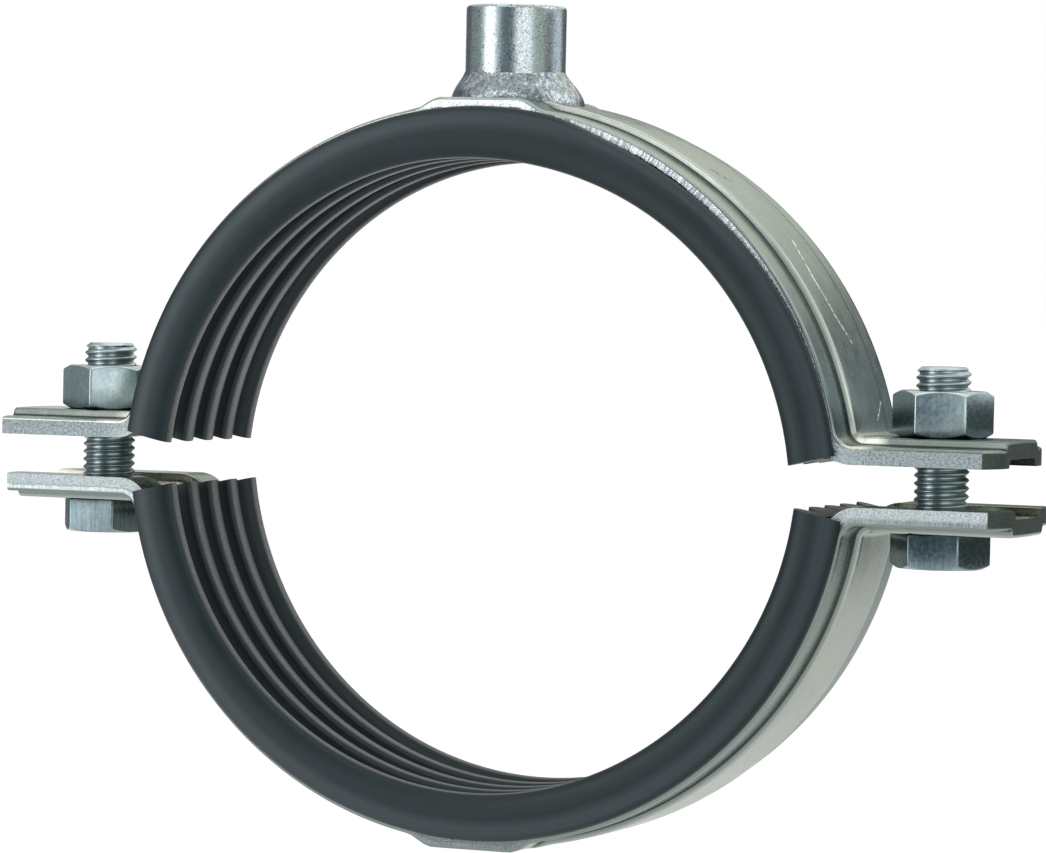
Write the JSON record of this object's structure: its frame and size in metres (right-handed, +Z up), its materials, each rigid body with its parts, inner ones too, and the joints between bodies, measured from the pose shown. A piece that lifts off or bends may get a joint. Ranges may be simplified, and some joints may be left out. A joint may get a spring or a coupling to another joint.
{
  "type": "two-part pipe clamp",
  "caption": "Heavy-duty steel pipe clamp: bolted pressed half-shells with ears and a stiffening bead, ribbed rubber lining and a welded threaded boss on top.",
  "frame": {"origin": "centre of the boss mouth, where the threaded rod enters", "axes": "+Z up along the threaded rod, +X towards the right bolt, +Y along the pipe, away from the front"},
  "size_m": [0.2411, 0.0452, 0.186],
  "materials": {
    "band_steel": "zinc plated, satin",
    "lining_rubber": "matte black",
    "boss_steel": "zinc plated, satin",
    "weld_steel": "plated weld bead",
    "bolt_steel": "zinc plated",
    "nut_steel": "zinc plated"
  },
  "bodies": {
    "upper_half": {"upper_half_shell": "band_steel", "upper_rubber_lining": "lining_rubber", "connection_boss": "boss_steel", "boss_weld": "weld_steel"},
    "lower_half": {"lower_half_shell": "band_steel", "lower_rubber_lining": "lining_rubber", "bolt_left": "bolt_steel", "bolt_right": "bolt_steel"},
    "right_nut": {"nut_right": "nut_steel"},
    "left_nut": {"nut_left": "nut_steel"}
  },
  "joints": [
    {"name": "lower_half_lift", "type": "slide", "parent": "upper_half", "child": "lower_half", "axis": [0, 0, 1], "range_m": [-0.01226, 0.0087]},
    {"name": "nut_right_turn", "type": "hinge", "parent": "upper_half", "child": "right_nut", "pos_m": [0.10175, 0, -0.0873], "axis": [0, 0, -1], "range_deg": [-2523, 1791]},
    {"name": "nut_left_turn", "type": "hinge", "parent": "upper_half", "child": "left_nut", "pos_m": [-0.10025, 0, -0.0873], "axis": [0, 0, -1], "range_deg": [-2523, 1791]}
  ],
  "couplings": [
    {"joint": "nut_right_turn", "follows": "lower_half_lift", "rad_per_m": 3590.4},
    {"joint": "nut_left_turn", "follows": "lower_half_lift", "rad_per_m": 3590.4}
  ]
}
